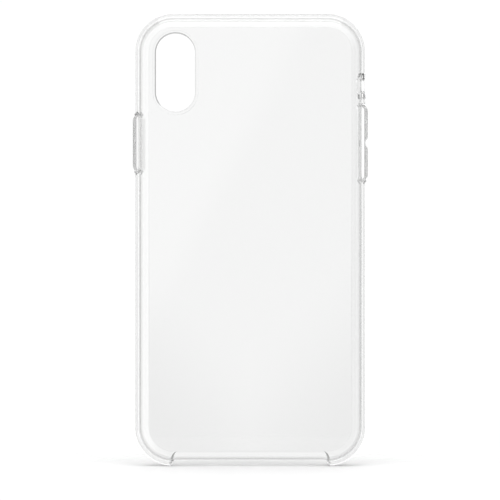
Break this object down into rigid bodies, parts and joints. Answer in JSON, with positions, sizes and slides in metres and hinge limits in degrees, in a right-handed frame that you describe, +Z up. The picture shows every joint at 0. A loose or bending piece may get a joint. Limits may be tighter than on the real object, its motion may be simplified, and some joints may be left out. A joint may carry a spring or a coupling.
{
  "type": "phone case",
  "caption": "Clear slip-on phone case: hard transparent back, flexible bumper with a raised lip, pill-shaped camera opening, open bottom edge, ring switch slot and pressable button covers.",
  "frame": {"origin": "on the ground, midway across the width over both button covers and midway through the depth", "axes": "+Z up the case towards its camera end; -Y out of the back panel, +Y out of the open screen side; +X to the right of someone who looks at the back panel"},
  "size_m": [0.08, 0.011, 0.1543],
  "materials": {
    "clear_polycarbonate": "optically clear, hard coated, polished",
    "clear_tpu": "clear flexible thermoplastic polyurethane, smooth"
  },
  "bodies": {
    "shell": {"back_panel": "clear_polycarbonate", "bumper_frame": "clear_tpu", "camera_ring": "clear_polycarbonate", "side_button_web": "clear_tpu", "volume_web": "clear_tpu"},
    "side_button": {"side_button_cover": "clear_tpu"},
    "volume_up_button": {"volume_up_cover": "clear_tpu"},
    "volume_down_button": {"volume_down_cover": "clear_tpu"}
  },
  "joints": [
    {"name": "side_button_press", "type": "slide", "parent": "shell", "child": "side_button", "axis": [1, 0, 0], "range_m": [0, 0.00035], "stiffness_N_per_m": 1500, "deforming": ["side_button_web"]},
    {"name": "volume_up_press", "type": "slide", "parent": "shell", "child": "volume_up_button", "axis": [-1, 0, 0], "range_m": [0, 0.00035], "stiffness_N_per_m": 1500, "deforming": ["volume_web"]},
    {"name": "volume_down_press", "type": "slide", "parent": "shell", "child": "volume_down_button", "axis": [-1, 0, 0], "range_m": [0, 0.00035], "stiffness_N_per_m": 1500, "deforming": ["volume_web"]}
  ]
}
